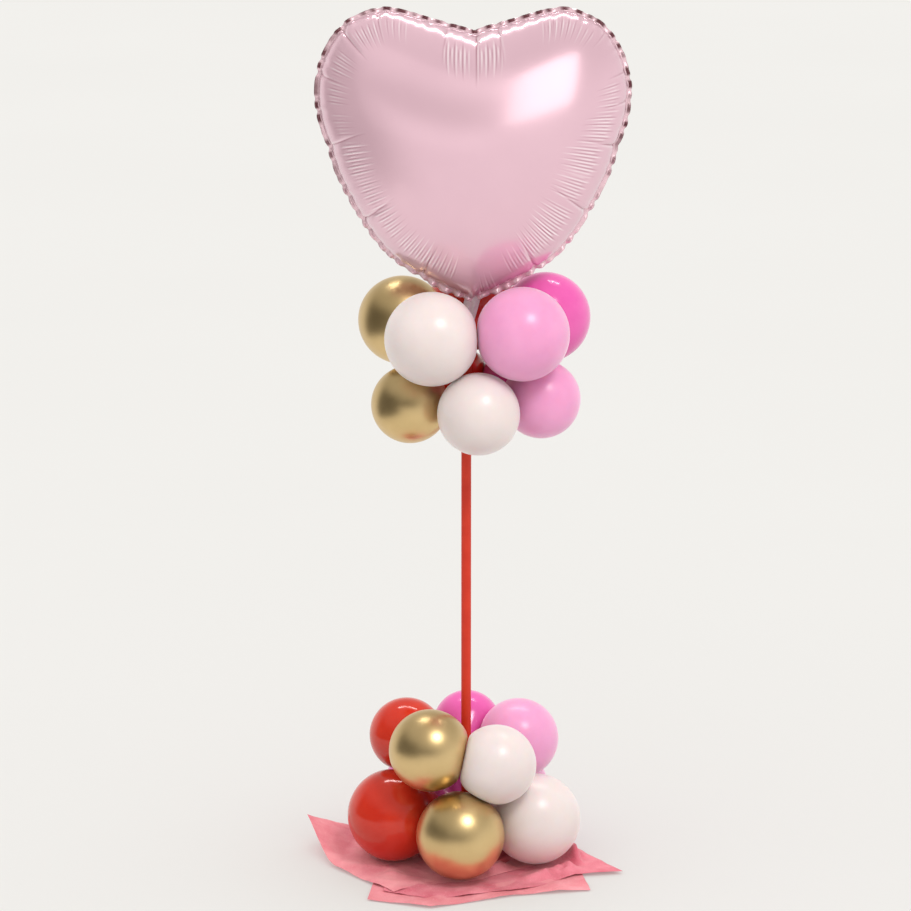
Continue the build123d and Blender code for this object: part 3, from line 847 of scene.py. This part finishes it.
    # for the material: painted shade and dark reflection on the weld, and painted shade and highlight along
    # creases and puckers
    # painted shade and dark reflection on the weld: darker towards the top of the heart and in dashes where
    # the seam waves
    upper = np.clip((np.abs(places - 0.5) - 0.13) / 0.12, 0.12, 1)
    weld = np.zeros(depth.shape)
    painted_weld_dashes = 0.5 + 0.5 * np.sin(2 * math.pi * 23 * places + 1) * np.sin(2 * math.pi * 9 * places)
    weld[:first] = 0.2 + 0.8 * upper * np.clip(painted_weld_dashes + 0.6 * ripple, 0, 1)
    for attribute, values in (("weld", weld), ("fold", shade)):
        picked = [values[row, i] for row, stride in enumerate(strides)
                  for i in range(0, AROUND, stride)] + [0.0]
        made = piece.data.attributes.new(attribute, "FLOAT", "POINT")
        made.data.foreach_set("value", np.resize(picked, len(piece.data.vertices)).astype(np.float32))
    return piece


def pearl_foil():
    """Pearl pink film under a clear face, with painted shade in the creases and pucker valleys, painted
    highlight on the ridges, and a pale weld with painted shade and dark reflection.
    """
    made = finish("pearl_pink_foil", (0.73, 0.475, 0.555), (0.77, 0.505, 0.585), 9, (0.2, 0.24),
                  0.0, 300, Metallic=0.36, Coat_Weight=0.6, Coat_Roughness=0.1)
    tree = made.node_tree
    colour = tree.nodes["finish"].outputs["Colour"]
    # fold below zero mixes in a painted highlight and above zero painted shade; weld turns the seam pale,
    # then dark as painted shade and dark reflection
    for attribute, low, high, tone in (("fold", 0.0, -1.0, (1.0, 0.90, 0.93)),
                                       ("fold", 0.0, 1.0, (0.30, 0.10, 0.14)),
                                       ("weld", 0.0, 0.25, (0.86, 0.60, 0.66)),
                                       ("weld", 0.25, 1.0, (0.13, 0.035, 0.045))):
        read = tree.nodes.new("ShaderNodeAttribute")
        read.attribute_name = attribute
        share = tree.nodes.new("ShaderNodeMapRange")
        share.inputs["From Min"].default_value = low
        share.inputs["From Max"].default_value = high
        mix = tree.nodes.new("ShaderNodeMix")
        mix.data_type = "RGBA"
        mix.inputs["B"].default_value = (*tone, 1)
        tree.links.new(read.outputs["Fac"], share.inputs["Value"])
        tree.links.new(share.outputs["Result"], mix.inputs["Factor"])
        tree.links.new(colour, mix.inputs["A"])
        colour = mix.outputs["Result"]
    tree.links.new(colour, tree.nodes["Principled BSDF"].inputs["Base Color"])
    return made


foil = pearl_foil()
for side, name, node in ((-1, "foil_heart_front", "heart_front_panel"),
                         (1, "foil_heart_back", "heart_back_panel")):
    panel = heart_panel(name, side, 0.0 if side < 0 else 1.7)
    dress(panel, foil)
    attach(panel, "heart")
    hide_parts(node)


# ---- filling neck and cup -------------------------------------------------------------------
# The heart's flat filling neck hangs from its tip: two strips of silvery film welded along
# both sides, gripped by a small moulded cup that plugs into the pole's top end.

NECK_WIDTH = 0.020
NECK_TOP = 0.7445
NECK_BOTTOM = 0.702
NECK_COLUMNS, NECK_ROWS = 36, 48
GRIP_TOP, TIP_WELD = 0.713, 0.742            # the neck lies free between the cup and the heart's tip


def filling_neck():
    """Long flat strip with its welds and the wrinkles it gets from being gripped."""
    bpy.ops.object.select_all(action="DESELECT")
    bpy.ops.mesh.primitive_grid_add(x_subdivisions=NECK_COLUMNS, y_subdivisions=NECK_ROWS, size=1)
    piece = bpy.context.object
    piece.name = "filling_neck"
    for vertex in piece.data.vertices:
        across, up = vertex.co.x * 2, vertex.co.y + 0.5
        z = NECK_BOTTOM + up * (NECK_TOP - NECK_BOTTOM)
        drift = np.clip((z - GRIP_TOP) / (TIP_WELD - GRIP_TOP), 0, 1)
        free = np.clip((z - 0.7135) / 0.012, 0, 1) * np.clip((TIP_WELD - z) / 0.012, 0, 1)
        weld = abs(across) > 0.86
        belly = 0.0007 * free * (1 - across * across)
        wrinkle = 0.00025 * free * math.sin(across * 9 + up * 5)
        vertex.co = (TIP.x * drift + across * NECK_WIDTH / 2,
                     -(0 if weld else belly + wrinkle) - 0.00003, z)
    wall = piece.modifiers.new("thickness", "SOLIDIFY")
    wall.thickness = 0.00012
    bpy.ops.object.modifier_apply(modifier=wall.name)
    bpy.ops.object.shade_smooth()
    return piece


silver_film = finish("silver_film", (0.72, 0.68, 0.69), (0.84, 0.80, 0.81), 220, (0.22, 0.4), 0.25,
                     700, Metallic=0.6)
cup_plastic = finish("cup_plastic", (0.74, 0.73, 0.72), (0.8, 0.79, 0.78), 60, (0.3, 0.45))
neck = filling_neck()
dress(neck, silver_film)
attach(neck, "heart")
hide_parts("heart_tail")
dress(nodes["heart_cup"], cup_plastic)


# ---- studio: floor, light and camera --------------------------------------------------------
# A pale seamless floor that fills the view; only its near part shines in the object. One softbox
# lights the balloons, two light the heart, and a strip over the object lights all of it. The
# walls are pale, with the dark of the room behind the camera.

FLOOR_SIZE = 120.0
SWEEP_SIZE, SWEEP_MIDDLE = 3.2, (0.4, 0.0, 0.0)      # the near part, which shines in the object
FLOOR_DROP = 0.0005
floor_paper = finish("studio_floor_paper", (0.645, 0.64, 0.625), (0.655, 0.65, 0.635), 0.6, (0.8, 0.9),
                     0.0, Specular_IOR_Level=0.0, Emission_Color=(1, 0.99, 0.97, 1),
                     Emission_Strength=0.2)
floors = []
for name, size, place, shines in (("studio_sweep", SWEEP_SIZE, SWEEP_MIDDLE, True),
                                  ("studio_floor", FLOOR_SIZE, (0, 0, -FLOOR_DROP), False)):
    bpy.ops.object.select_all(action="DESELECT")
    bpy.ops.mesh.primitive_plane_add(size=size, location=place)
    floor = bpy.context.object
    floor.name = name
    floor.visible_glossy = shines
    floors.append(dress(floor, floor_paper))
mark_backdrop(*floors)

world = bpy.data.worlds.new("studio_walls")
bpy.context.scene.world = world
world.use_nodes = True
walls = world.node_tree
link = walls.links.new
facing = walls.nodes.new("ShaderNodeTexCoord")
parts = walls.nodes.new("ShaderNodeSeparateXYZ")
link(facing.outputs["Generated"], parts.inputs["Vector"])


def ramp(value, start, end, low=0.0, high=1.0):
    """Smooth step of a value between start and end."""
    made = walls.nodes.new("ShaderNodeMapRange")
    made.interpolation_type = "SMOOTHSTEP"
    for name, number in (("From Min", start), ("From Max", end), ("To Min", low), ("To Max", high)):
        made.inputs[name].default_value = number
    link(value, made.inputs["Value"])
    return made.outputs["Result"]


def join(kind, *values):
    """Several values put together by one operation, two at a time."""
    total = values[0]
    for value in values[1:]:
        made = walls.nodes.new("ShaderNodeMath")
        made.operation = kind
        link(total, made.inputs[0])
        link(value, made.inputs[1])
        total = made.outputs["Value"]
    return total


# what shines in the balloons: a dim room in front, dark to the left, and a white floor and back
east, north, up = (parts.outputs[axis] for axis in "XYZ")
left_dark = join("MULTIPLY", ramp(east, -0.25, -0.70, 0.0, 0.9), ramp(north, 0.55, 0.15),
                 ramp(up, 0.70, 0.35), ramp(up, -0.65, -0.35))
front_dim = join("MULTIPLY", ramp(east, 1.0, -0.1, 0.0, 0.92), ramp(north, 0.25, -0.25),
                 ramp(up, 0.60, 0.22), ramp(up, -0.05, 0.15))
white_walls = walls.nodes.new("ShaderNodeRGB")
white_walls.outputs["Color"].default_value = (0.88, 0.87, 0.85, 1)
colour = white_walls.outputs["Color"]
for share, tone in ((ramp(up, 0.05, 0.60), (0.50, 0.49, 0.47, 1)),
                    (join("MAXIMUM", left_dark, front_dim), (0.03, 0.025, 0.015, 1))):
    mix = walls.nodes.new("ShaderNodeMix")
    mix.data_type = "RGBA"
    mix.inputs["B"].default_value = tone
    link(share, mix.inputs["Factor"])
    link(colour, mix.inputs["A"])
    colour = mix.outputs["Result"]
shine = walls.nodes.new("ShaderNodeBackground")
link(colour, shine.inputs["Color"])
glow = walls.nodes["Background"]
glow.inputs["Color"].default_value = (1.0, 0.99, 0.972, 1)
glow.inputs["Strength"].default_value = 1.06
ray = walls.nodes.new("ShaderNodeLightPath")
either = walls.nodes.new("ShaderNodeMixShader")
link(ray.outputs["Is Glossy Ray"], either.inputs["Fac"])
link(glow.outputs["Background"], either.inputs[1])
link(shine.outputs["Background"], either.inputs[2])
link(either.outputs["Shader"], walls.nodes["World Output"].inputs["Surface"])

SUBJECT, HEART = Vector((0, 0, 0.62)), Vector((0.02, -0.08, 0.93))
LAMP_WAY = 3.2
LAMP_COLOUR = (1.0, 0.985, 0.96)


def softbox(name, place, aim, size, power, lit):
    """Rectangular lamp that looks at a point and lights these pieces alone."""
    lamp = bpy.data.lights.new(name, "AREA")
    lamp.shape = "RECTANGLE"
    lamp.size, lamp.size_y = size
    lamp.energy = power
    lamp.color = LAMP_COLOUR
    holder = bpy.data.objects.new(name, lamp)
    bpy.context.scene.collection.objects.link(holder)
    holder.visible_camera = False
    holder.location = place
    holder.rotation_euler = (Vector(aim) - Vector(place)).to_track_quat("-Z", "Y").to_euler()
    group = bpy.data.collections.new(f"lit_by_{name}")
    for piece in lit:
        group.objects.link(piece)
    holder.light_linking.receiver_collection = group


foil_pieces = [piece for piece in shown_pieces() if piece.name.startswith("foil_heart")]
other_pieces = [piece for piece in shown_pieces() if piece not in foil_pieces]
softbox("key_softbox", SUBJECT + Vector((0.33, -0.57, 0.75)) * LAMP_WAY, SUBJECT, (0.8, 0.8), 42,
        other_pieces)
softbox("ceiling_strip", (0.1, 1.5, 3.6), (0.0, 0.0, 0.4), (2.6, 0.16), 34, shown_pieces())
softbox("heart_softbox", HEART + Vector((0.37, -0.86, 0.36)) * LAMP_WAY, HEART, (1.6, 1.9), 24,
        foil_pieces)
softbox("heart_fill", HEART + Vector((-0.32, -0.88, 0.34)) * LAMP_WAY, HEART, (3.4, 3.2), 9,
        foil_pieces)

camera = bpy.data.cameras.new("camera")
camera.lens = 134.708
camera.sensor_width = 36
viewer = bpy.data.objects.new("camera", camera)
bpy.context.scene.collection.objects.link(viewer)
viewer.location = (-0.0137, -4.2, 1.6)
viewer.rotation_euler = (math.radians(75.815), 0, 0)
camera.clip_end = 400
bpy.context.scene.camera = viewer
bpy.context.scene.view_settings.view_transform = "Standard"
